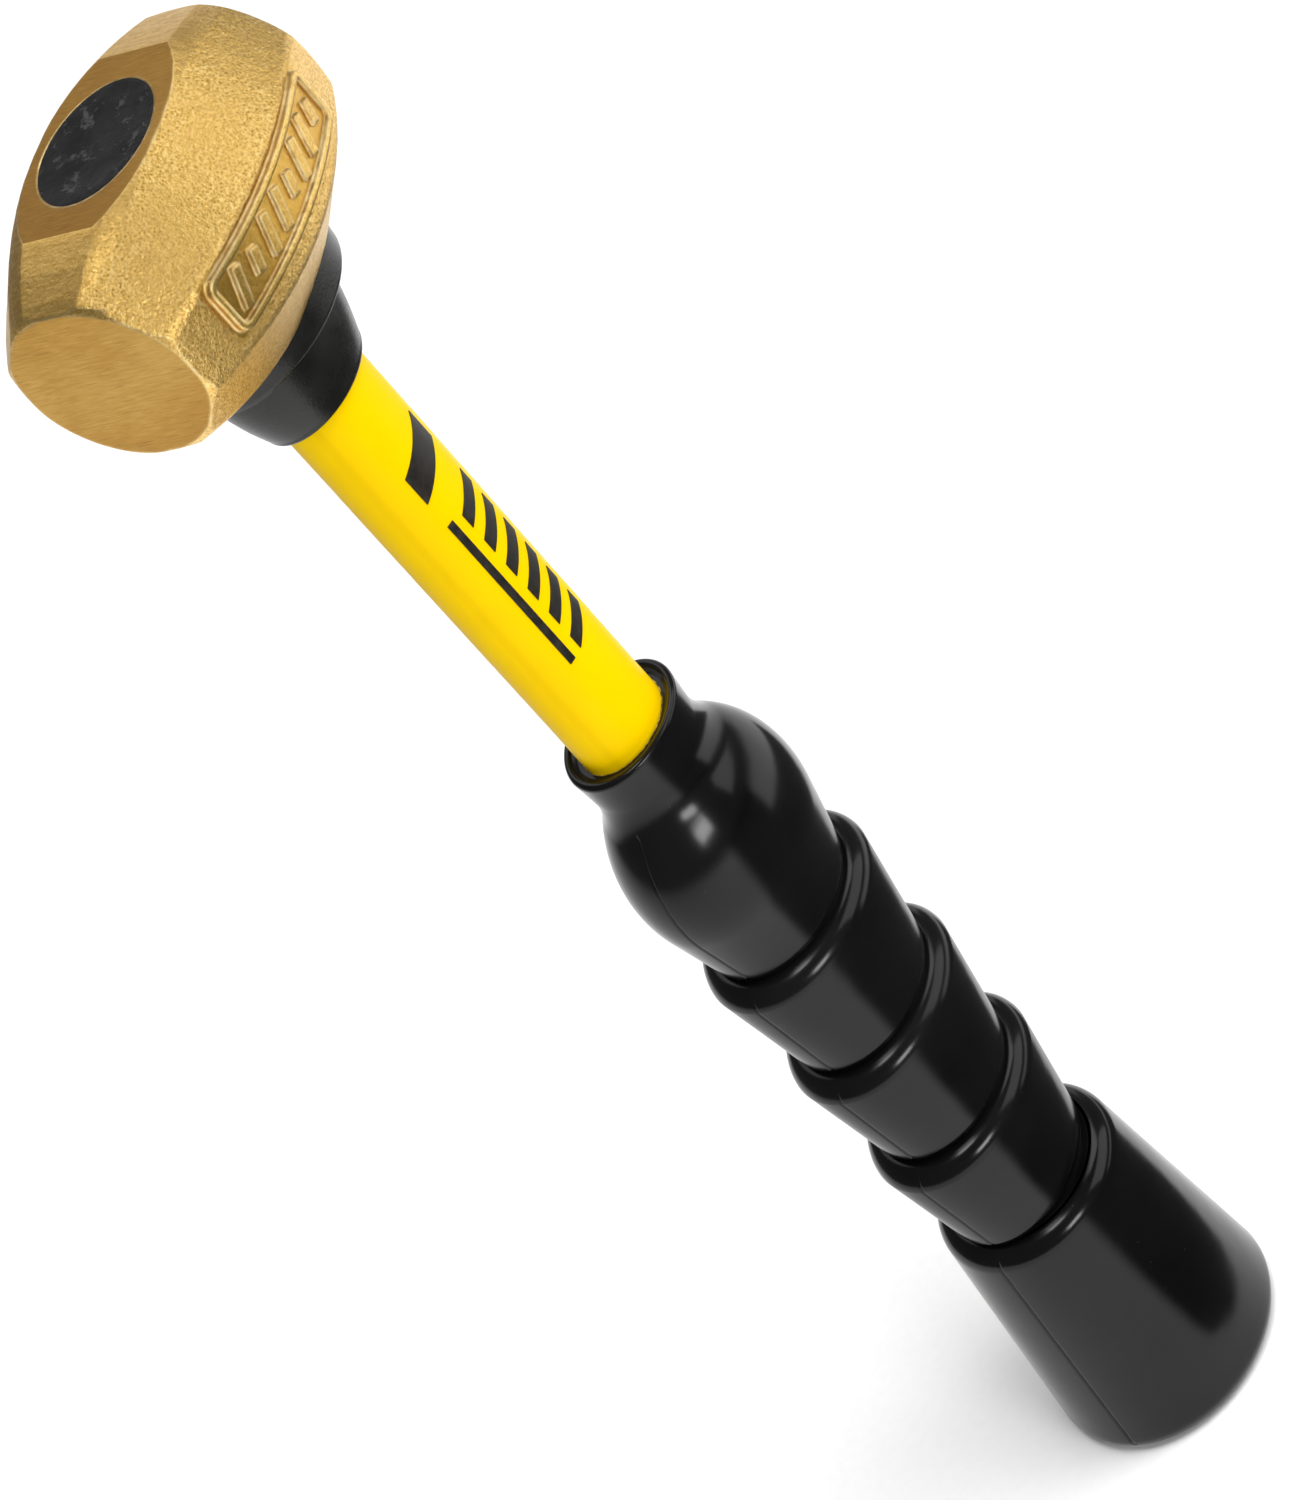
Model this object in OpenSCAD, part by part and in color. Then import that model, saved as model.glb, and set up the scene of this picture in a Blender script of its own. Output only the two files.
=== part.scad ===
// Hand hammer: a cast brass barrel head on an oval glass-fibre handle with a moulded grip.
// The handle stands along +Z with the butt on the XY plane; the head strikes along X,
// and its raised panel faces -Y. Millimetres.

/* [Overall] */
// Length of bare handle between the grip's mouth and the collar
shaft_len = 83.9; // [68:0.1:120]

/* [Head] */
// Length of the head between the two striking faces
head_len = 58.5; // [50:0.5:72]
// Diameter of the barrel at the middle of the head
barrel_d = 44.4; // [40:0.2:50]
// Diameter of each striking face
face_d = 30.8; // [26:0.2:34]
// Distance across the cast flats at the middle of the head
flats_mid = 42; // [39:0.5:48]
// Distance across the cast flats at the striking faces
flats_end = 29.4; // [26:0.2:33]
// How far above or below the horizontal the four inclined flats face
flat_slope = 40; // [34:1:48]
// Depth ground off the top and bottom flats around the eye
ground_off = 2.2; // [1:0.1:3.5]
// Worn chamfer around each striking face
face_chamfer = 0.7; // [0.3:0.1:1.5]
// Length of the handle eye along the striking direction
eye_x = 23.8; // [21:0.1:27]
// Width of the handle eye
eye_y = 19.2; // [17:0.1:22]

/* [Raised panel] */
// Length of the raised panel on the side of the head
panel_len = 42; // [30:0.5:44]
// Height of the raised panel
panel_h = 10.2; // [6:0.2:12]
// How far the panel's rim stands off the flat
panel_rise = 0.9; // [0.4:0.1:1.5]
// Width of the panel's rim
panel_rim = 1.1; // [0.6:0.1:1.5]
// Height of the panel's centre above the head's axis
panel_lift = 1; // [-2:0.1:3]
// Number of slanted bars on the panel
bar_count = 8; // [3:1:9]

/* [Handle] */
// Width of the glass-fibre core along the striking direction
core_x = 14.4; // [11:0.1:17]
// Thickness of the glass-fibre core
core_y = 9.8; // [7:0.1:13]
// Wall of the coloured jacket around the core
jacket_wall = 2.25; // [1.2:0.05:3]
// Depth of epoxy over the top end of the core
epoxy_cover = 5; // [2:0.5:10]
// Dish in the top of the epoxy
epoxy_dish = 0.7; // [0.2:0.1:1.5]

/* [Collar] */
// Height of the strike collar below the ground bottom flat
collar_h = 16.9; // [14:0.1:24]
// Height of the part of the collar that flares under its flange
cup_h = 12.6; // [8:0.1:13]
// Wall of the collar at its lower rim, at the ends of the oval
collar_end_wall = 2.6; // [1.8:0.1:4]
// Wall of the collar at its lower rim, at the flat sides of the oval
collar_side_wall = 1.3; // [1:0.1:2.5]
// Growth of the collar's half-width from its lower rim up to the flange
cup_flare = 3.4; // [2:0.1:4.5]
// Bulge of the flaring part
cup_bulge = 0.4; // [0:0.1:1]
// Growth of the collar's half-width from the cup out to the flange
flange_step = 2.2; // [0.6:0.1:3]
// How far the flange is set over towards +X, so that it fades out on the -X side
flange_shift = 2.2; // [0:0.1:3]
// Growth of the flange's half-width up to the head
flange_flare = 0.8; // [0.2:0.1:2]

/* [Grip] */
// Length of the straight neck from the bulb's hollow to the mouth
neck_len = 7.2; // [6:0.2:30]
// Wall between the bottom of the handle and the butt face
butt_wall = 12; // [6:0.5:20]
// Thickness of the adhesive between the jacket and the grip
glue_t = 0.5; // [0.2:0.1:0.8]
// Half-width of the butt at its base, along the striking direction
butt_r = 23.6; // [20:0.2:28]
// Half-width at the top of the butt
butt_top_r = 19; // [18:0.2:22]
// Thickness of the butt as a share of its width
butt_oval = 0.9; // [0.75:0.01:1]
// Height of the butt section
butt_h = 54.6; // [44:0.2:60]
// Number of stepped finger sections above the butt
step_count = 3; // [1:1:4]
// Height of each stepped section
step_h = 26.5; // [20:0.5:32]
// Half-width at the lower rim of each stepped section
step_low_r = 16.4; // [15.5:0.1:18]
// Half-width below the shoulder of each stepped section
step_top_r = 19.9; // [18.5:0.1:22]
// Thickness of the grip as a share of its width
grip_oval = 0.77; // [0.72:0.01:1]
// Radius of the shoulders at each step
shoulder_r = 4; // [1.5:0.1:5]
// Radius of the butt's lower edge
butt_edge_r = 3.4; // [2:0.2:7]
// Height and depth of the undercut between sections
undercut = 0.8; // [0.4:0.1:1.2]
// Half-width of the bulb under the mouth
bulb_r = 19.9; // [18:0.1:22]
// Height of the bulb's widest level above its lower rim
bulb_rise = 18.4; // [15:0.2:24]
// Radius of the bulb's outline
bulb_arc_r = 24; // [22:0.5:30]
// Radius of the hollow between the bulb and the neck
neck_arc_r = 11; // [6:0.2:12]
// Wall of the neck around the handle
neck_wall = 2.25; // [1.8:0.05:4]
// Width of the rounded lip around the mouth
lip_t = 1.8; // [0.8:0.1:1.8]
// Depth of the open recess inside the mouth
mouth_depth = 1; // [0.5:0.5:5]

/* [Printed mark] */
// Gap between the grip's mouth and the lower end of the printed mark
mark_gap = 20.4; // [2:0.2:24]
// Length of the printed mark along the handle
mark_len = 48; // [30:1:55]
// Width of the printed mark across the handle
mark_w = 10; // [6:0.5:11]
// Number of slanted bars in the mark
mark_bars = 6; // [3:1:8]
// Thickness of the ink film
ink_t = 0.15; // [0.1:0.05:0.3]

/* [Hidden] */
$fn = 96;
over = 1;                                  // how far cutters run past what they cut

jacket_x = core_x + 2 * jacket_wall;
jacket_y = core_y + 2 * jacket_wall;
bore_x = jacket_x + 2 * glue_t;
bore_y = jacket_y + 2 * glue_t;

steps_z = butt_h + 1;                      // the lowest stepped section's rim
bulb_low_z = steps_z + step_count * step_h;
bulb_z = bulb_low_z + bulb_rise;           // the bulb's widest level
neck_r = bore_x / 2 + neck_wall;
bulb_angle = acos(1 - (bulb_r - neck_r) / (bulb_arc_r + neck_arc_r));
neck_z = bulb_z + (bulb_arc_r + neck_arc_r) * sin(bulb_angle);
grip_h = neck_z + neck_len;
mark_z = grip_h + mark_gap;

collar_z = grip_h + shaft_len;             // the collar's lower rim
flange_z = collar_z + cup_h;               // the flange's lower edge
collar_x = jacket_x / 2 + collar_end_wall; // half-width of the collar's lower rim
collar_oval = (jacket_y / 2 + collar_side_wall) / collar_x;
collar_edge = 1;                           // rounding of the lower rim and the flange

ground_h = flats_mid / 2 - ground_off;     // from the head's axis to its ground flats
underside_z = collar_z + collar_h;         // the ground bottom flat
head_z = underside_z + ground_h;           // the head's axis
top_z = head_z + ground_h;                 // the ground top flat
jacket_top_z = underside_z - 4;            // the jacket ends inside the collar
core_top_z = top_z - epoxy_cover;

panel_dip = 0.65;                          // drop from the panel's rim to its floor
bar_slant = 22;                            // degrees, for the panel and the printed mark

// Points of an arc of radius r about c, from angle a0 to a1, one every few degrees
function arc(c, r, a0, a1, every = 11) =
    let (n = max(2, ceil(abs(a1 - a0) / every)))
    [for (i = [0 : n]) c + r * [cos(a0 + (a1 - a0) * i / n), sin(a0 + (a1 - a0) * i / n)]];

// Radius of the bow that is mid high at the middle and end high at the striking faces
function bow_r(mid, end) = (pow(head_len / 2, 2) + pow(mid - end, 2)) / (2 * (mid - end));

// An upright oval post from z0 to z1
module oval(x, y, z0, z1) {
    translate([0, 0, z0]) linear_extrude(z1 - z0) scale([1, y / x]) circle(d = x);
}

// A bar between two bowed faces that lie mid from the axis at the middle
module bow_bar(mid, r) {
    rotate([90, 0, 0]) linear_extrude(2 * barrel_d, center = true) intersection() {
        translate([0, mid - r]) circle(r = r);
        translate([0, r - mid]) circle(r = r);
        square([head_len + 2 * over, 2 * mid + over], center = true);
    }
}

// The turned barrel that rounds off the cast flats, with its end chamfers
module barrel() {
    r = bow_r(barrel_d / 2, face_d / 2);
    half = head_len / 2;
    reach = asin((half - face_chamfer) / r);
    rotate([0, 90, 0]) rotate_extrude() polygon(concat(
        [[0, -half], [face_d / 2 - face_chamfer, -half]],
        arc([barrel_d / 2 - r, 0], r, -reach, reach, 2.5),
        [[face_d / 2 - face_chamfer, half], [0, half]]));
}

// The head before the eye is drilled, about its own centre
module head_blank() {
    r = bow_r(flats_mid / 2, flats_end / 2);
    intersection() {
        barrel();
        cast_flats(r);
        translate([-head_len, -barrel_d, -ground_h]) cube([2 * head_len, 2 * barrel_d, 2 * ground_h]);
    }
}

// The cast flats: two upright, two level and two inclined pairs
module cast_flats(r) {
    intersection() {
        bow_bar(flats_mid / 2, r);
        rotate([90, 0, 0]) bow_bar(flats_mid / 2, r);
        rotate([90 - flat_slope, 0, 0]) bow_bar(flats_mid / 2, r);
        rotate([flat_slope - 90, 0, 0]) bow_bar(flats_mid / 2, r);
    }
}

// A rounded outline on the head's -Y side, w along X and h along Z, pushed through the flat
module side_outline(w, h, r) {
    translate([0, 0, panel_lift]) rotate([90, 0, 0])
        linear_extrude(barrel_d) intersection() {
            square([w, h], center = true);
            union() {
                square([w - 2 * r, h], center = true);
                square([w, h - 2 * r], center = true);
                for (x = [-1, 1], y = [-1, 1]) translate([x * (w / 2 - r), y * (h / 2 - r)]) circle(r = r);
            }
        }
}

// Everything inside the bow that runs rise outside the -Y flat
module side_bow(rise) {
    r = bow_r(flats_mid / 2, flats_end / 2);
    translate([0, r - flats_mid / 2, 0]) cylinder(r = r + rise, h = flats_mid, center = true, $fn = 360);
}

// The slanted bars in the panel's recess
module panel_bars() {
    inner_len = panel_len - 2 * panel_rim;
    bar_h = panel_h - 2 * panel_rim - 1.6;
    pitch = inner_len / (bar_count + 0.5);
    for (i = [0 : bar_count - 1])
        translate([(i - (bar_count - 1) / 2) * pitch, 0, panel_lift])
            rotate([0, bar_slant, 0]) rotate([90, 0, 0])
                linear_extrude(barrel_d)
                    square([pitch * 0.38, i % 3 == 1 ? bar_h * 0.6 : bar_h], center = true);
}

// The raised panel: a rim, a sunken floor and the slanted bars
module side_panel() {
    difference() {
        intersection() {
            side_outline(panel_len, panel_h, panel_rim * 1.8);
            side_bow(panel_rise);
        }
        difference() {
            side_outline(panel_len - 2 * panel_rim, panel_h - 2 * panel_rim, panel_rim * 0.9);
            side_bow(panel_rise - panel_dip);
        }
    }
    intersection() {
        panel_bars();
        side_bow(panel_rise - 0.05);
    }
}

module head() {
    color([0.80, 0.60, 0.26]) difference() {
        translate([0, 0, head_z]) union() {
            head_blank();
            intersection() {
                side_panel();
                translate([-head_len / 2, -barrel_d, -barrel_d])
                    cube([head_len, barrel_d - flats_end / 2 + over, 2 * barrel_d]);
            }
        }
        oval(eye_x, eye_y, underside_z - over, top_z + over);
    }
}

module eye_epoxy() {
    dish_x = eye_x / 2 - 0.6;
    dish_r = (dish_x * dish_x + epoxy_dish * epoxy_dish) / (2 * epoxy_dish);
    color([0.07, 0.07, 0.07]) difference() {
        union() {
            oval(eye_x, eye_y, underside_z, top_z);
            oval(jacket_x, jacket_y, jacket_top_z, underside_z);
        }
        oval(core_x, core_y, jacket_top_z - over, core_top_z);
        translate([0, 0, top_z + dish_r - epoxy_dish])
            scale([1, eye_y / eye_x, 1]) sphere(r = dish_r, $fn = 360);
    }
}

module core_rod() {
    color([0.86, 0.80, 0.62]) oval(core_x, core_y, butt_wall, core_top_z);
}

module shaft_jacket() {
    color([1.0, 0.85, 0.0]) difference() {
        oval(jacket_x, jacket_y, butt_wall, jacket_top_z);
        oval(core_x, core_y, butt_wall - over, jacket_top_z + over);
    }
}

// A turned profile squeezed into an oval, with its points given as [half-width, height]
module oval_turned(points, share) {
    scale([1, share, 1]) rotate_extrude($fn = 48) polygon(points);
}

// The collar's cup: it bulges out from the lower rim and runs on straight up to the head
module collar_cup(top) {
    cup_x = collar_x + cup_flare;
    low = [collar_x, collar_z + collar_edge];
    rise = [cup_x, flange_z] - low;
    oval_turned(concat(
        [[0, collar_z]],
        arc([collar_x - collar_edge, collar_z + collar_edge], collar_edge, -90, 0, 22),
        [for (t = [0.2 : 0.2 : 1]) low + t * rise + [4 * cup_bulge * t * (1 - t), 0]],
        [[cup_x + (top - flange_z) * rise.x / rise.y, top], [0, top]]), collar_oval);
}

// The flange that fits round the head, set over to one side of the cup
module collar_flange(top) {
    flange_x = collar_x + cup_flare + flange_step;
    translate([flange_shift, 0, 0]) oval_turned(concat(
        [[0, flange_z]],
        arc([flange_x - collar_edge, flange_z + collar_edge], collar_edge, -90, 0, 22),
        [[flange_x + flange_flare, top], [0, top]]), collar_oval);
}

module strike_collar() {
    top = underside_z + 4;
    color([0.10, 0.10, 0.10]) difference() {
        union() {
            collar_cup(top);
            collar_flange(top);
        }
        translate([0, 0, head_z]) head_blank();
        oval(jacket_x, jacket_y, collar_z - over, top + over);
    }
}

// One stepped section from its lower rim at z up to its rounded shoulder
function step_points(z) = concat(
    [[step_low_r, z]],
    arc([step_top_r - shoulder_r, z + step_h - 1 - shoulder_r], shoulder_r, 8, 90),
    [[step_low_r - undercut, z + step_h - 1], [step_low_r - undercut, z + step_h - 1 + undercut]]);

module grip_upper() {
    lip_c = grip_h - lip_t / 2;
    bulb_c = [bulb_r - bulb_arc_r, bulb_z];
    low = [step_low_r, bulb_low_z] - bulb_c;
    tangent = atan2(low.y, low.x) + acos(bulb_arc_r / norm(low));
    oval_turned(concat(
        [[0, butt_h - 4], [step_low_r - undercut, butt_h - 4], [step_low_r - undercut, steps_z - 0.2]],
        [for (i = [0 : step_count - 1]) each step_points(steps_z + i * step_h)],
        [[step_low_r, bulb_low_z]],
        arc(bulb_c, bulb_arc_r, tangent, bulb_angle, 6),
        arc([neck_r + neck_arc_r, neck_z], neck_arc_r, 180 + bulb_angle, 180),
        arc([neck_r + lip_t * 0.35 - lip_t / 2, lip_c], lip_t / 2, -20, 90),
        [[0, grip_h]]), grip_oval);
}

module grip_butt() {
    edge_x = butt_r - butt_edge_r;
    oval_turned(concat(
        [[0, 0]],
        arc([edge_x, butt_edge_r], butt_edge_r, -90, 0),
        arc([butt_top_r - shoulder_r, butt_h - shoulder_r], shoulder_r, 5, 90),
        [[0, butt_h]]), butt_oval);
}

module grip_sleeve() {
    mouth_x = neck_r * 2 - 2 * lip_t;
    color([0.09, 0.09, 0.09]) difference() {
        union() {
            grip_butt();
            grip_upper();
        }
        oval(bore_x, bore_y, butt_wall, grip_h + over);
        oval(mouth_x, mouth_x * grip_oval, grip_h - mouth_depth, grip_h + over);
    }
}

module grip_adhesive() {
    color([0.16, 0.15, 0.12]) difference() {
        oval(bore_x, bore_y, butt_wall, grip_h - mouth_depth);
        oval(jacket_x, jacket_y, butt_wall - over, grip_h);
    }
}

// The mark's outline: a solid block, slanted bars and a thin rule beside them
module mark_outline() {
    pitch = mark_len / (mark_bars + 2);
    slant = tan(bar_slant) * mark_w;
    translate([-mark_w / 2, mark_len - 1.4 * pitch])
        polygon([[0, 0], [mark_w, slant], [mark_w, slant + pitch], [0, pitch]]);
    for (i = [0 : mark_bars - 1])
        translate([-mark_w / 2, i * pitch])
            polygon([[mark_w * 0.3, 0], [mark_w, slant * 0.7], [mark_w, slant * 0.7 + pitch * 0.5],
                     [mark_w * 0.3, pitch * 0.5]]);
    translate([-mark_w / 2, 0]) square([mark_w * 0.12, pitch * (mark_bars - 0.3)]);
}

module shaft_mark() {
    color([0.08, 0.06, 0.05]) intersection() {
        difference() {
            oval(jacket_x + 2 * ink_t, jacket_y + 2 * ink_t, mark_z - 1, mark_z + mark_len + 6);
            oval(jacket_x, jacket_y, mark_z - 2, mark_z + mark_len + 7);
        }
        translate([0, 0, mark_z]) rotate([90, 0, 0]) linear_extrude(jacket_y) mark_outline();
    }
}

head();
eye_epoxy();
core_rod();
shaft_jacket();
strike_collar();
grip_sleeve();
grip_adhesive();
shaft_mark();
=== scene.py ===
"""Looks of the brass hand hammer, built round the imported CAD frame.

Shapes (panel, grip, collar) are in millimetres and are scaled by MM when used; everything else is in metres.
"""

import math

import bpy
import numpy as np
from mathutils import Matrix, Vector


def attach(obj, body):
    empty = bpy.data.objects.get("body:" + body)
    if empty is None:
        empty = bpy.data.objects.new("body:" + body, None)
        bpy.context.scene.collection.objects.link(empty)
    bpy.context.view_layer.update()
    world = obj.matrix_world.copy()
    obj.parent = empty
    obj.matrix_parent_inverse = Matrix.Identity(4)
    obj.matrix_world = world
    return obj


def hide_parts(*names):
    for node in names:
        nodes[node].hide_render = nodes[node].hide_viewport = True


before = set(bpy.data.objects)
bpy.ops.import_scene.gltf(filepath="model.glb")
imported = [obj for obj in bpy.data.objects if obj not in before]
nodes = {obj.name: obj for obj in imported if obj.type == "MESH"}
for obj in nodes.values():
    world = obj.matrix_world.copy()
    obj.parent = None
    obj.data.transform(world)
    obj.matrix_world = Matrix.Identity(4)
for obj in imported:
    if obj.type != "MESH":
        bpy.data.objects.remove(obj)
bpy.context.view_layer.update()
scene = bpy.context.scene
MM = 0.001

# ---------------------------------------------------------------- node helpers


class Shader:
    """A material's node tree, with short ways to add nodes and link them."""

    def __init__(self, name):
        self.mat = bpy.data.materials.new(name)
        self.mat.use_nodes = True
        self.tree = self.mat.node_tree
        self.bsdf = self.tree.nodes["Principled BSDF"]
        self.coords = self.tree.nodes.new("ShaderNodeTexCoord")

    def add(self, kind, links=None, **values):
        node = self.tree.nodes.new("ShaderNode" + kind)
        for key, value in values.items():
            if key in node.inputs:
                node.inputs[key].default_value = value
            else:
                setattr(node, key, value)
        for key, source in (links or {}).items():
            self.tree.links.new(source, node.inputs[key])
        return node

    def link(self, source, socket):
        self.tree.links.new(source, socket)

    def stretched(self, scale, turn=(0, 0, 0)):
        """Object coordinates, turned and stretched."""
        node = self.add("Mapping", {"Vector": self.coords.outputs["Object"]})
        node.inputs["Scale"].default_value = scale
        node.inputs["Rotation"].default_value = turn
        return node.outputs[0]

    def noise(self, scale, detail=3.0, rough=0.5, vector=None):
        source = vector or self.coords.outputs["Object"]
        node = self.add("TexNoise", {"Vector": source}, Scale=scale, Detail=detail, Roughness=rough)
        return node.outputs["Fac"]

    def cells(self, scale):
        node = self.add("TexVoronoi", {"Vector": self.coords.outputs["Object"]}, Scale=scale)
        return node.outputs["Distance"]

    def math(self, operation, a, b=0.5, c=0.0):
        node = self.add("Math", operation=operation)
        for i, v in enumerate((a, b, c)):
            if isinstance(v, (int, float)):
                node.inputs[i].default_value = v
            else:
                self.link(v, node.inputs[i])
        return node.outputs[0]

    def span(self, value, lo, hi, to_lo=0.0, to_hi=1.0):
        """value, from lo to hi, mapped smoothly to to_lo to to_hi."""
        node = self.add("MapRange", {"Value": value}, interpolation_type="SMOOTHSTEP")
        node.inputs["From Min"].default_value = lo
        node.inputs["From Max"].default_value = hi
        node.inputs["To Min"].default_value = to_lo
        node.inputs["To Max"].default_value = to_hi
        return node.outputs["Result"]

    def ramp(self, value, stops):
        node = self.add("ValToRGB", {"Fac": value})
        while len(node.color_ramp.elements) < len(stops):
            node.color_ramp.elements.new(0.5)
        for element, (place, colour) in zip(node.color_ramp.elements, stops):
            element.position = place
            element.color = (*colour, 1)
        return node.outputs["Color"]

    def mix(self, share, a, b):
        """Colours a and b (sockets or constants) mixed by share."""
        node = self.add("Mix", data_type="RGBA")
        for i, v in ((0, share), (6, a), (7, b)):
            if isinstance(v, tuple):
                node.inputs[i].default_value = (*v, 1)
            elif isinstance(v, (int, float)):
                node.inputs[i].default_value = v
            else:
                self.link(v, node.inputs[i])
        return node.outputs[2]

    def blend(self, share, a, b):
        """Numbers a and b (sockets or constants) mixed by share."""
        node = self.add("Mix", data_type="FLOAT")
        for i, v in ((0, share), (2, a), (3, b)):
            if isinstance(v, (int, float)):
                node.inputs[i].default_value = v
            else:
                self.link(v, node.inputs[i])
        return node.outputs[0]

    def bump(self, height, distance, strength=1.0, normal=None):
        links = {"Height": height}
        if normal is not None:
            links["Normal"] = normal
        return self.add("Bump", links, Distance=distance, Strength=strength).outputs["Normal"]

    def finish(self, **sockets):
        for key, value in sockets.items():
            name = key.replace("_", " ")
            if isinstance(value, tuple):
                self.bsdf.inputs[name].default_value = (*value, 1)
            elif isinstance(value, (int, float)):
                self.bsdf.inputs[name].default_value = value
            else:
                self.link(value, self.bsdf.inputs[name])
        return self.mat


# ------------------------------------------------------------------- materials

PANEL_HALF_X, PANEL_HALF_Z, PANEL_Z = 21.0, 5.1, 303.2     # the raised panel on the head's -Y side
FLAT_Y = 21.0 * MM                                         # the -Y flat's distance from the middle
FLAT_BOW_R = 71.05 * MM
FLAT_BOW = 1 / (2 * FLAT_BOW_R)
WORN_EDGE_R, CAST_RELIEF = 0.8 * MM, 0.2 * MM
JACKET_LINE_X = -8.7 * MM                                  # a faint darker line down the jacket


def brass():
    s = Shader("cast_brass")
    nx, ny, nz = s.add("SeparateXYZ", {"Vector": s.coords.outputs["Normal"]}).outputs
    px, py, pz = s.add("SeparateXYZ", {"Vector": s.coords.outputs["Object"]}).outputs
    level = s.span(nz, 0.972, 0.992)                            # the ground flats
    crown = s.span(s.math("ABSOLUTE", nz), 0.80, 0.88)          # the cast slopes past them
    end = s.span(s.math("ABSOLUTE", nx), 0.86, 0.96)            # sawn striking faces
    smooth = s.math("MAXIMUM", level, end)

    grain = s.noise(2500, 4, 0.62)
    lumps = s.noise(1100, 2, 0.5)
    pits = s.cells(2000)
    mottle = s.noise(95, 3, 0.55)
    stain = s.noise(38, 3, 0.6)

    speckle = s.math("MULTIPLY_ADD", grain, 0.75, s.math("MULTIPLY", pits, 0.5))
    cast = s.ramp(speckle, [(0.32, (0.34, 0.18, 0.036)), (0.48, (0.66, 0.39, 0.095)),
                            (0.66, (0.86, 0.56, 0.165)), (0.88, (0.97, 0.72, 0.28))])
    calm = s.ramp(lumps, [(0.3, (0.76, 0.47, 0.12)), (0.7, (0.86, 0.56, 0.17))])
    cast = s.mix(s.span(mottle, 0.38, 0.66, 0.0, 0.6), cast, calm)

    # the raised panel is smoother and a deeper gold than the flats round it
    near_x = s.span(s.math("ABSOLUTE", px), (PANEL_HALF_X + 1) * MM, PANEL_HALF_X * MM)
    off_z = s.math("ABSOLUTE", s.math("SUBTRACT", pz, PANEL_Z * MM))
    near_z = s.span(off_z, (PANEL_HALF_Z + 1) * MM, PANEL_HALF_Z * MM)
    panel = s.math("MULTIPLY", s.math("MULTIPLY", near_x, near_z), s.span(ny, -0.3, -0.5))
    gold = s.ramp(grain, [(0.35, (0.62, 0.36, 0.06)), (0.6, (0.92, 0.61, 0.16))])
    # how far a point stands proud of the bowed flat
    stands = s.math("MULTIPLY_ADD", s.math("MULTIPLY", px, px), FLAT_BOW,
                    s.math("MULTIPLY_ADD", py, -1.0, -FLAT_Y))
    # painted shade: the panel's sunk floor is a little darker and the side walls of its raised bars darkest,
    # standing in for shade in the recesses
    painted_recess_shade = s.ramp(s.math("MULTIPLY", stands, 1000.0),
                  [(0.30, (0.64, 0.37, 0.06)), (0.42, (0.20, 0.09, 0.012)), (0.80, (0.30, 0.14, 0.02))])
    gold = s.mix(s.span(s.math("MULTIPLY", stands, 1000.0), 0.80, 0.87), painted_recess_shade, gold)
    cast = s.mix(s.math("MULTIPLY", panel, 0.8), cast, gold)

    sawn_lines = s.noise(1.0, 5, 0.7, s.stretched((30, 260, 2600), (math.radians(4), 0, 0)))
    scratches = s.noise(1.0, 2, 0.5, s.stretched((40, 190, 3600), (math.radians(-5), 0, 0)))
    scratch = s.span(scratches, 0.66, 0.72)
    face = s.ramp(s.math("MULTIPLY_ADD", stain, 0.6, s.math("MULTIPLY", sawn_lines, 0.4)),
                  [(0.34, (0.40, 0.195, 0.035)), (0.50, (0.54, 0.30, 0.06)), (0.66, (0.70, 0.44, 0.12))])
    face = s.mix(s.math("MULTIPLY", scratch, 0.5), face, (0.20, 0.09, 0.02))

    hair = s.noise(1.0, 4, 0.6, s.stretched((2600, 420, 420), (0, 0, math.radians(35))))
    ground = s.ramp(s.math("MULTIPLY_ADD", hair, 0.35, s.math("MULTIPLY", stain, 0.65)),
                    [(0.34, (0.27, 0.13, 0.02)), (0.52, (0.38, 0.20, 0.035)), (0.70, (0.52, 0.30, 0.07))])
    flat = s.mix(end, ground, face)
    rubbed = s.ramp(hair, [(0.35, (0.60, 0.34, 0.075)), (0.65, (0.90, 0.60, 0.19))])
    cast = s.mix(s.math("MULTIPLY", crown, 0.7), cast, rubbed)
    colour = s.mix(smooth, cast, flat)

    round_n = s.add("Bevel", Radius=WORN_EDGE_R, samples=6).outputs["Normal"]
    true_n = s.add("NewGeometry").outputs["True Normal"]
    edge = s.add("VectorMath", {0: round_n, 1: true_n}, operation="DOT_PRODUCT").outputs["Value"]
    # bright edges: partly wear on the brass, partly a painted highlight along the edges
    wear_and_edge_highlight = s.span(s.math("SUBTRACT", 1.0, edge), 0.006, 0.05)
    wear_and_edge_highlight = s.math("MULTIPLY", wear_and_edge_highlight, s.span(s.noise(420, 2), 0.35, 0.6, 0.35, 0.9))
    colour = s.mix(wear_and_edge_highlight, colour, (0.98, 0.78, 0.38))

    relief = s.math("ADD", s.math("MULTIPLY", grain, 0.7), s.math("MULTIPLY", lumps, 0.7))
    relief = s.math("MULTIPLY", relief, s.span(s.math("MAXIMUM", panel, crown), 0.0, 1.0, 1.0, 0.45))
    ripples = s.add("TexWave", {"Vector": s.coords.outputs["Object"]}, Scale=150.0, Distortion=3.0,
                    Detail=2.0, bands_direction="X").outputs["Fac"]
    flat_relief = s.math("ADD", s.math("MULTIPLY", ripples, s.math("MULTIPLY", level, 0.05)),
                         s.math("MULTIPLY", s.blend(end, hair, sawn_lines), 0.18))
    height = s.blend(smooth, relief, flat_relief)
    normal = s.bump(height, CAST_RELIEF, 0.9, round_n)
    rough = s.blend(smooth, s.span(grain, 0.3, 0.7, 0.42, 0.28), s.span(stain, 0.3, 0.7, 0.38, 0.48))
    return s.finish(Base_Color=colour, Metallic=1.0, Roughness=rough, Normal=normal)


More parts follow.
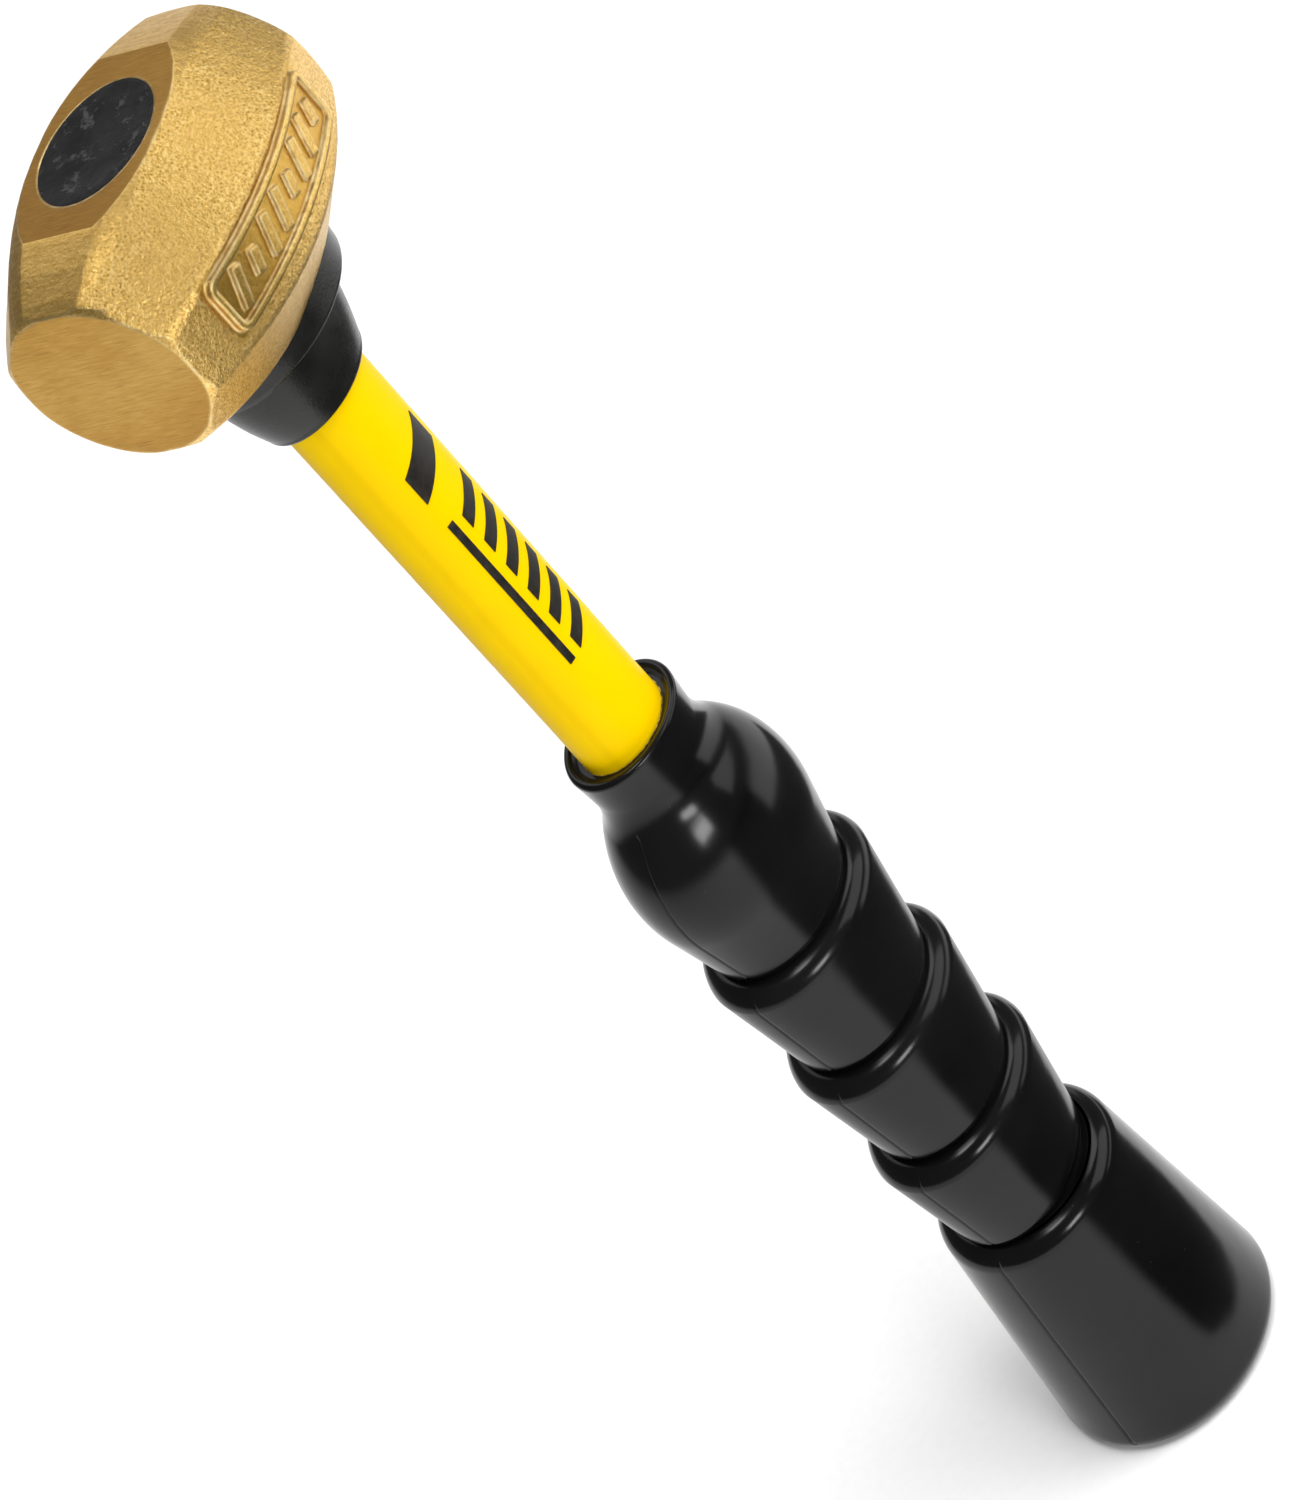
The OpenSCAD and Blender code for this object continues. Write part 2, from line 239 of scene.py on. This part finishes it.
def epoxy():
    s = Shader("epoxy")
    swirl = s.noise(160, 4, 0.6)
    smear = s.span(s.noise(330, 3, 0.65), 0.55, 0.68)
    colour = s.mix(s.math("MULTIPLY", smear, 0.7), (0.006, 0.006, 0.006), (0.05, 0.05, 0.052))
    relief = s.math("ADD", swirl, s.math("MULTIPLY", smear, 0.4))
    return s.finish(Base_Color=colour, Roughness=s.span(swirl, 0.3, 0.7, 0.34, 0.62),
                    Specular_IOR_Level=0.12, Normal=s.bump(relief, 0.5 * MM, 0.8))


def jacket():
    s = Shader("jacket")
    drift = s.noise(60, 2)
    streak = s.noise(1.0, 3, 0.5, s.stretched((900, 900, 9)))
    colour = s.mix(s.span(drift, 0.3, 0.7), (0.96, 0.62, 0.0), (0.98, 0.645, 0.0))
    place = s.add("SeparateXYZ", {"Vector": s.coords.outputs["Object"]})
    off_line = s.math("ABSOLUTE", s.math("SUBTRACT", place.outputs["X"], JACKET_LINE_X))
    line = s.span(off_line, 0.55 * MM, 0.1 * MM)
    colour = s.mix(s.math("MULTIPLY", line, 0.28), colour, (0.80, 0.50, 0.0))
    return s.finish(Base_Color=colour, Roughness=s.span(drift, 0.3, 0.7, 0.30, 0.40), Specular_IOR_Level=0.03,
                    Normal=s.bump(streak, 0.03 * MM, 0.5))


def ink():
    s = Shader("ink")
    patch = s.noise(700, 3, 0.6)
    colour = s.mix(s.span(patch, 0.4, 0.7), (0.010, 0.008, 0.006), (0.022, 0.018, 0.012))
    return s.finish(Base_Color=colour, Roughness=s.span(patch, 0.3, 0.7, 0.35, 0.5))


def collar():
    s = Shader("collar")
    cloud = s.noise(120, 3, 0.55)
    fine = s.noise(2600, 2, 0.5)
    colour = s.mix(s.span(cloud, 0.3, 0.75), (0.006, 0.006, 0.005), (0.012, 0.012, 0.011))
    relief = s.math("ADD", fine, s.math("MULTIPLY", cloud, 2.0))
    return s.finish(Base_Color=colour, Roughness=s.span(cloud, 0.3, 0.7, 0.24, 0.32),
                    Specular_IOR_Level=0.36, Normal=s.bump(relief, 0.05 * MM, 0.6))


def rubber():
    s = Shader("grip")
    cloud = s.noise(45, 3, 0.5)
    dust = s.span(s.noise(1500, 2, 0.5), 0.74, 0.80)
    wave = s.noise(90, 2, 0.4)
    colour = s.mix(s.span(cloud, 0.3, 0.75), (0.002, 0.002, 0.002), (0.005, 0.005, 0.005))
    colour = s.mix(s.math("MULTIPLY", dust, 0.25), colour, (0.10, 0.10, 0.10))
    return s.finish(Base_Color=colour, Roughness=s.span(cloud, 0.3, 0.7, 0.14, 0.20), Specular_IOR_Level=0.30,
                    Normal=s.bump(wave, 0.25 * MM, 0.5))


def adhesive():
    s = Shader("adhesive")
    lumps = s.noise(650, 3, 0.6)
    colour = s.mix(s.span(lumps, 0.4, 0.65), (0.03, 0.025, 0.012), (0.42, 0.30, 0.05))
    return s.finish(Base_Color=colour, Roughness=s.span(lumps, 0.3, 0.7, 0.4, 0.7),
                    Normal=s.bump(lumps, 0.5 * MM, 0.9))


def glass_fibre():
    s = Shader("glass_fibre")
    strand = s.noise(1.0, 3, 0.5, s.stretched((2500, 2500, 15)))
    colour = s.mix(s.span(strand, 0.3, 0.7), (0.62, 0.55, 0.33), (0.80, 0.74, 0.52))
    return s.finish(Base_Color=colour, Roughness=s.span(strand, 0.3, 0.7, 0.4, 0.6),
                    Normal=s.bump(strand, 0.05 * MM, 0.5))


LOOKS = {"head": brass(), "eye_epoxy": epoxy(), "core_rod": glass_fibre(), "shaft_jacket": jacket(),
         "strike_collar": collar(), "grip_sleeve": rubber(), "grip_adhesive": adhesive(), "shaft_mark": ink()}


def paint(obj, material):
    obj.data.materials.clear()
    obj.data.materials.append(material)


def smooth_by_angle(obj, degrees):
    obj.data.polygons.foreach_set("use_smooth", [True] * len(obj.data.polygons))
    obj.data.set_sharp_from_angle(angle=math.radians(degrees))


for name, node in nodes.items():
    paint(node, LOOKS[name])

# ------------------------------------------------------------- the moulded grip

BUTT_H, BUTT_R, BUTT_TOP_R, BUTT_EDGE_R, BUTT_OVAL = 54.6, 23.6, 19.0, 3.4, 0.9
STEP_COUNT, STEP_H, STEP_LOW_R, STEP_TOP_R, UNDERCUT = 3, 26.5, 16.4, 19.9, 0.8
SHOULDER_R, RIM_R, GRIP_OVAL = 4.0, 0.5, 0.77
BULB_R, BULB_ARC_R, NECK_ARC_R, NECK_R, BULB_RISE, NECK_LEN = 19.9, 24.0, 11.0, 12.2, 18.4, 7.2
LIP_T, MOUTH_DEPTH, MOUTH_FLOOR_IN = 1.8, 1.0, 2.6


def new_piece(name, points, faces):
    mesh = bpy.data.meshes.new(name)
    mesh.from_pydata(points, [], faces)
    mesh.validate()
    obj = bpy.data.objects.new(name, mesh)
    scene.collection.objects.link(obj)
    return obj


def arc(c, r, a0, a1, every=3.0):
    count = max(2, math.ceil(abs(a1 - a0) / every))
    angles = np.radians(np.linspace(a0, a1, count + 1))
    return [(c[0] + r * math.cos(t), c[1] + r * math.sin(t)) for t in angles]


def line(p, q, every=1.5):
    count = max(1, math.ceil(math.dist(p, q) / every))
    return [(p[0] + (q[0] - p[0]) * i / count, p[1] + (q[1] - p[1]) * i / count) for i in range(count + 1)]


def chain(*runs):
    """The runs of points joined, with straight runs between them filled in and repeats dropped."""
    out = []
    for run in runs:
        if out and math.dist(out[-1], run[0]) > 1.6:
            run = line(out[-1], run[0]) + list(run)
        for p in run:
            if not out or math.dist(out[-1], p) > 0.02:
                out.append(p)
    return out


def grip_profile():
    """[half-width, height, share] from the butt face's centre up the outside, over the lip and in."""
    edge_x = BUTT_R - BUTT_EDGE_R
    butt = chain([(0.0, 0.0)], arc((edge_x, BUTT_EDGE_R), BUTT_EDGE_R, -90, 0),
                 arc((BUTT_TOP_R - SHOULDER_R, BUTT_H - SHOULDER_R), SHOULDER_R, 5, 90),
                 [(STEP_LOW_R - UNDERCUT, BUTT_H)])
    rows = [(x, z, BUTT_OVAL) for x, z in butt]
    steps_z = BUTT_H + 1
    upper = []
    for i in range(STEP_COUNT + 1):
        z = steps_z + i * STEP_H
        # the gap under the rim, then the rim's small rounding
        upper += chain([(STEP_LOW_R - UNDERCUT, z - 1), (STEP_LOW_R - UNDERCUT, z - 0.1)],
                       arc((STEP_LOW_R - RIM_R, z + RIM_R), RIM_R, -90, 10, 20))
        if i < STEP_COUNT:
            upper += arc((STEP_TOP_R - SHOULDER_R, z + STEP_H - 1 - SHOULDER_R), SHOULDER_R, 8, 90)
    low_z = steps_z + STEP_COUNT * STEP_H
    bulb_c = (BULB_R - BULB_ARC_R, low_z + BULB_RISE)
    low = (STEP_LOW_R - bulb_c[0], low_z - bulb_c[1])
    tangent = math.degrees(math.atan2(low[1], low[0]) + math.acos(BULB_ARC_R / math.hypot(*low)))
    angle = math.degrees(math.acos(1 - (BULB_R - NECK_R) / (BULB_ARC_R + NECK_ARC_R)))
    neck_z = bulb_c[1] + (BULB_ARC_R + NECK_ARC_R) * math.sin(math.radians(angle))
    top = neck_z + NECK_LEN
    upper += arc(bulb_c, BULB_ARC_R, tangent, angle)
    upper += arc((NECK_R + NECK_ARC_R, neck_z), NECK_ARC_R, 180 + angle, 180)
    lip_x = NECK_R + LIP_T * 0.35 - LIP_T / 2
    upper += arc((lip_x, top - LIP_T / 2), LIP_T / 2, -20, 160, 12)
    upper += [(NECK_R - LIP_T, top - 0.8), (NECK_R - LIP_T, top - MOUTH_DEPTH),
              (NECK_R - MOUTH_FLOOR_IN, top - MOUTH_DEPTH)]
    upper = chain([upper[0]], upper[1:])
    return rows + [(x, z, GRIP_OVAL) for x, z in upper]


def turned_mesh(name, rows, angles, shape):
    """A mesh turned from rows of (half-width, height, share); shape(x, z, angle) moves the half-width."""
    points = []
    for x, z, share in rows:
        for t in angles:
            r = shape(x, z, t)
            points.append((r * math.cos(t) * MM, r * share * math.sin(t) * MM, z * MM))
    n = len(angles)
    faces = [(i * n + j, i * n + (j + 1) % n, (i + 1) * n + (j + 1) % n, (i + 1) * n + j)
             for i in range(len(rows) - 1) for j in range(n)]
    return new_piece(name, points, faces)


SEAM_W, SEAM_D = 0.45, 0.20
SEAM_FROM_X, SEAM_LOW_Z, SEAM_HIGH_Z = 6, 2, 170
RING_COUNT, SEAM_OFFSETS = 240, (-1.6, -0.9, -0.45, 0, 0.45, 0.9, 1.6)


def grip_shape(x, z, t):
    """The parting line runs down both ends of the oval as a fine groove."""
    if x < SEAM_FROM_X:
        return x
    off = abs(math.sin(t)) * x
    groove = SEAM_D * max(0.0, 1 - off / SEAM_W) if SEAM_LOW_Z < z < SEAM_HIGH_Z else 0.0
    return x - groove


# even steps round the grip, with closer ones at its two parting lines
even_angles = np.linspace(0, 360, RING_COUNT, endpoint=False)
seam_angles = [end + np.array(SEAM_OFFSETS) for end in (0, 180)]
ring = sorted(set(np.round(np.concatenate([even_angles] + seam_angles) % 360, 3)))
grip = turned_mesh("grip_moulding", grip_profile(), np.radians(ring), grip_shape)
paint(grip, LOOKS["grip_sleeve"])
smooth_by_angle(grip, 38)
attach(grip, "root")
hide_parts("grip_sleeve")

# -------------------------------------------------------------- the strike collar

JACKET_X, JACKET_Y = 9.45, 7.15            # the jacket's half-width and half-thickness
COLLAR_Z, FLANGE_Z, UNDERSIDE_Z, HEAD_Z = 266.5, 279.1, 283.4, 302.2
COLLAR_X, CUP_X, CUP_BULGE, COLLAR_EDGE = 12.05, 15.45, 0.4, 1.0
COLLAR_OVAL = 8.45 / 12.05
FLANGE_X, FLANGE_SHIFT, FLANGE_FLARE = 17.65, 2.2, 0.8
FLANGE_REACH = 4                           # the flange follows the head up to this far over its underside
HEAD_HALF, FLATS_MID, FLATS_END, BARREL_MID, BARREL_END, FLAT_SLOPE = 29.25, 21.0, 14.7, 22.2, 15.4, 40.0


def bow_drop(x, mid, end):
    """How much nearer the head's axis a bowed outline is at x than at the middle."""
    r = (HEAD_HALF ** 2 + (mid - end) ** 2) / (2 * (mid - end))
    return r - math.sqrt(r * r - x * x)


def underside(x, y):
    """Height of the head's underside over the point (x, y)."""
    flats = FLATS_MID - bow_drop(x, FLATS_MID, FLATS_END)
    barrel = BARREL_MID - bow_drop(x, BARREL_MID, BARREL_END)
    slope = math.radians(FLAT_SLOPE)
    inclined = (flats - abs(y) * math.cos(slope)) / math.sin(slope)
    return HEAD_Z - min(HEAD_Z - UNDERSIDE_Z, flats, inclined, math.sqrt(barrel ** 2 - y * y))


def cup_r(z):
    share = (z - COLLAR_Z - COLLAR_EDGE) / (FLANGE_Z - COLLAR_Z - COLLAR_EDGE)
    return COLLAR_X + (CUP_X - COLLAR_X) * share + 4 * CUP_BULGE * max(0.0, share * (1 - share))


def flange_r(z, t):
    top = UNDERSIDE_Z + FLANGE_REACH
    low = FLANGE_Z + COLLAR_EDGE
    if z >= low:
        r = FLANGE_X + FLANGE_FLARE * (z - low) / (top - low)
    else:
        r = FLANGE_X - COLLAR_EDGE + math.sqrt(max(0.0, COLLAR_EDGE ** 2 - (low - z) ** 2))
    return FLANGE_SHIFT * math.cos(t) + math.sqrt(r * r - (FLANGE_SHIFT * math.sin(t)) ** 2)


def soft_max(a, b, k=0.25):
    return 0.5 * (a + b + math.sqrt((a - b) ** 2 + k * k))


def collar_column(t):
    """The collar's outline at one angle, from its bore round the rim and up to the head, as points."""
    rim = [(COLLAR_X - COLLAR_EDGE + COLLAR_EDGE * math.sin(a),
            COLLAR_Z + COLLAR_EDGE - COLLAR_EDGE * math.cos(a)) for a in np.radians(np.linspace(0, 90, 8))]
    cup = [(cup_r(z), z) for z in np.linspace(COLLAR_Z + COLLAR_EDGE, FLANGE_Z - 0.02, 26)[1:]]
    under = [(soft_max(cup_r(FLANGE_Z), flange_r(FLANGE_Z, t)), FLANGE_Z)]
    edge = [(soft_max(cup_r(z), flange_r(z, t)), z)
            for z in FLANGE_Z + COLLAR_EDGE * (1 - np.cos(np.radians(np.linspace(10, 90, 9))))]
    top = UNDERSIDE_Z
    for _ in range(6):
        r = soft_max(cup_r(top), flange_r(top, t))
        top = min(UNDERSIDE_Z + FLANGE_REACH, underside(r * math.cos(t), r * COLLAR_OVAL * math.sin(t)))
    band = [(soft_max(cup_r(z), flange_r(z, t)), z) for z in np.linspace(FLANGE_Z + COLLAR_EDGE, top, 8)[1:]]
    outside = [(r * math.cos(t), r * COLLAR_OVAL * math.sin(t), z)
               for r, z in rim + cup + under + edge + band]
    bore = (JACKET_X * math.cos(t), JACKET_Y * math.sin(t))
    return [(*bore, COLLAR_Z)] + outside + [(*bore, UNDERSIDE_Z)]


def grid_mesh(name, columns):
    """A closed ring of point columns, joined round and along, with its ends joined too."""
    n, m = len(columns), len(columns[0])
    points = [tuple(c * MM for c in p) for column in columns for p in column]
    faces = [(i * m + j, ((i + 1) % n) * m + j, ((i + 1) % n) * m + (j + 1) % m, i * m + (j + 1) % m)
             for i in range(n) for j in range(m)]
    return new_piece(name, points, faces)


collar_angles = np.radians(np.arange(0, 360, 1.5))
collar_piece = grid_mesh("collar_moulding", [collar_column(t) for t in collar_angles])
paint(collar_piece, LOOKS["strike_collar"])
smooth_by_angle(collar_piece, 40)
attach(collar_piece, "root")
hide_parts("strike_collar")

for name in ("head", "strike_collar", "eye_epoxy", "shaft_jacket", "core_rod", "grip_adhesive",
             "shaft_mark"):
    smooth_by_angle(nodes[name], 12 if name == "head" else 30)

# ------------------------------------------------------------- floor and camera

AIM = Vector((0, 0, 0.162))
VIEW_AZ, VIEW_EL, VIEW_ROLL = math.radians(-43.825), math.radians(38.265), math.radians(-41.867)
VIEW_DISTANCE, SLIDE_RIGHT, SLIDE_UP = 0.89733, -0.00457, 0.00774
VIEW_HEIGHT_DEG = 14.99                    # the picture's height as an angle

back = Vector((math.sin(VIEW_AZ) * math.cos(VIEW_EL), -math.cos(VIEW_AZ) * math.cos(VIEW_EL),
               math.sin(VIEW_EL)))
level_right = Vector((math.cos(VIEW_AZ), math.sin(VIEW_AZ), 0))
level_up = back.cross(level_right)
cam_right = math.cos(VIEW_ROLL) * level_right + math.sin(VIEW_ROLL) * level_up
cam_up = -math.sin(VIEW_ROLL) * level_right + math.cos(VIEW_ROLL) * level_up

camera = bpy.data.objects.new("camera", bpy.data.cameras.new("camera"))
scene.collection.objects.link(camera)
turn = Matrix((cam_right, cam_up, back)).transposed().to_4x4()
place = AIM + back * VIEW_DISTANCE + cam_right * SLIDE_RIGHT + cam_up * SLIDE_UP
camera.matrix_world = Matrix.Translation(place) @ turn
camera.data.sensor_width = 36.0
camera.data.lens = 18.0 / math.tan(math.radians(VIEW_HEIGHT_DEG / 2))
camera.data.clip_start, camera.data.clip_end = 0.05, 20
scene.camera = camera

FLOOR_HALF, FLOOR_GAP = 3.0, 0.05 * MM
floor_mesh = bpy.data.meshes.new("floor")
floor_mesh.from_pydata([(-FLOOR_HALF, -FLOOR_HALF, 0), (FLOOR_HALF, -FLOOR_HALF, 0),
                        (FLOOR_HALF, FLOOR_HALF, 0), (-FLOOR_HALF, FLOOR_HALF, 0)], [], [(0, 1, 2, 3)])
floor = bpy.data.objects.new("floor", floor_mesh)
floor.location.z = -FLOOR_GAP
scene.collection.objects.link(floor)


# KNOWN FAULT: this floor is not plain. A dark mat is painted on the paper, painted shade that stands in for
# dark surroundings, its edge just past the picture's right edge, so the main picture doesn't show it but
# other views do. This painted shade darkens the reflections on the grip and the head. For a plain floor, set
# the mat's colour to the paper's colour, (0.94, 0.94, 0.94), and judge the looks again. Turns are in degrees
# on the floor. Past MAT_REACH the mat is left out on MAT_GAP_TURN's side.
SHADE_MAT_COLOUR = (0.05, 0.05, 0.05)
MAT_EDGE_TURN, MAT_EDGE, MAT_SIDE_TURN, MAT_SIDE_SOFT = -78.05, 0.034, -20.0, 0.11
MAT_GAP_TURN, MAT_GAP_SOFT, MAT_REACH, MAT_REACH_SOFT = 27.0, 0.06, 0.378, 0.01


def floor_paper():
    s = Shader("floor_paper")
    fibre = s.noise(500, 3, 0.6)
    paper = s.mix(s.span(fibre, 0.3, 0.7), (0.93, 0.93, 0.93), (0.95, 0.95, 0.95))
    place = s.coords.outputs["Object"]

    def reach(turn):
        a = math.radians(turn)
        along = s.add("VectorMath", {0: place}, operation="DOT_PRODUCT")
        along.inputs[1].default_value = (math.cos(a), math.sin(a), 0)
        return along.outputs["Value"]

    distance = s.add("VectorMath", {0: place}, operation="LENGTH").outputs["Value"]
    side = s.math("DIVIDE", reach(MAT_SIDE_TURN), distance)
    shade_mat = s.math("MULTIPLY", s.span(reach(MAT_EDGE_TURN), MAT_EDGE - MM, MAT_EDGE + MM),
                    s.span(side, -MAT_SIDE_SOFT, MAT_SIDE_SOFT))
    gap = s.math("MULTIPLY", s.span(distance, MAT_REACH - MAT_REACH_SOFT, MAT_REACH + MAT_REACH_SOFT),
                 s.span(s.math("DIVIDE", reach(MAT_GAP_TURN), distance), -MAT_GAP_SOFT, MAT_GAP_SOFT))
    shade_mat = s.math("MULTIPLY", shade_mat, s.math("SUBTRACT", 1.0, gap))
    # painted shade: the dark mat mixed into the paper
    colour = s.mix(shade_mat, paper, SHADE_MAT_COLOUR)
    return s.finish(Base_Color=colour, Roughness=0.9, Specular_IOR_Level=0.1,
                    Normal=s.bump(fibre, 0.02 * MM, 0.2))


paint(floor, floor_paper())

# ----------------------------------------------------------------------- lights


LIGHT_AIM, WORLD_STRENGTH = Vector((0, 0, 0.15)), 0.15


def softbox(name, azimuth, elevation, distance, size, watts, tall=None, mirrored=True):
    """An area light that faces LIGHT_AIM from that direction; mirrored=False keeps it out of reflections."""
    a, e = math.radians(azimuth), math.radians(elevation)
    direction = Vector((math.cos(a) * math.cos(e), math.sin(a) * math.cos(e), math.sin(e)))
    data = bpy.data.lights.new(name, "AREA")
    data.shape = "RECTANGLE"
    data.size, data.size_y = size, tall or size
    data.energy = watts
    light = bpy.data.objects.new(name, data)
    scene.collection.objects.link(light)
    light.location = LIGHT_AIM + direction * distance
    light.rotation_mode = "QUATERNION"
    light.rotation_quaternion = direction.to_track_quat("Z", "Y")
    light.visible_glossy = mirrored


softbox("key", -117, 18, 1.2, 0.40, 4.4, tall=0.26)
softbox("top_card", -135, 76, 1.5, 0.35, 3.2)
softbox("right_wall", -50, 25, 1.3, 1.2, 5.4, tall=0.9)
softbox("ceiling", 0, 54, 1.4, 0.7, 2.6, tall=0.5)
softbox("side_window", 32, 9, 1.4, 0.9, 1.2, tall=0.6)
softbox("far_wall", 52, 46, 1.5, 0.9, 2.4)
softbox("overhead", -80, 70, 2.2, 1.5, 35, mirrored=False)
softbox("front_fill", -70, 45, 1.6, 1.0, 7, mirrored=False)
softbox("left_fill", 175, 35, 1.6, 1.0, 3, mirrored=False)

world = bpy.data.worlds.new("studio")
scene.world = world
world.use_nodes = True
world.node_tree.nodes["Background"].inputs["Color"].default_value = (1, 1, 1, 1)
world.node_tree.nodes["Background"].inputs["Strength"].default_value = WORLD_STRENGTH

scene.view_settings.view_transform = "Standard"
scene.view_settings.look = "None"
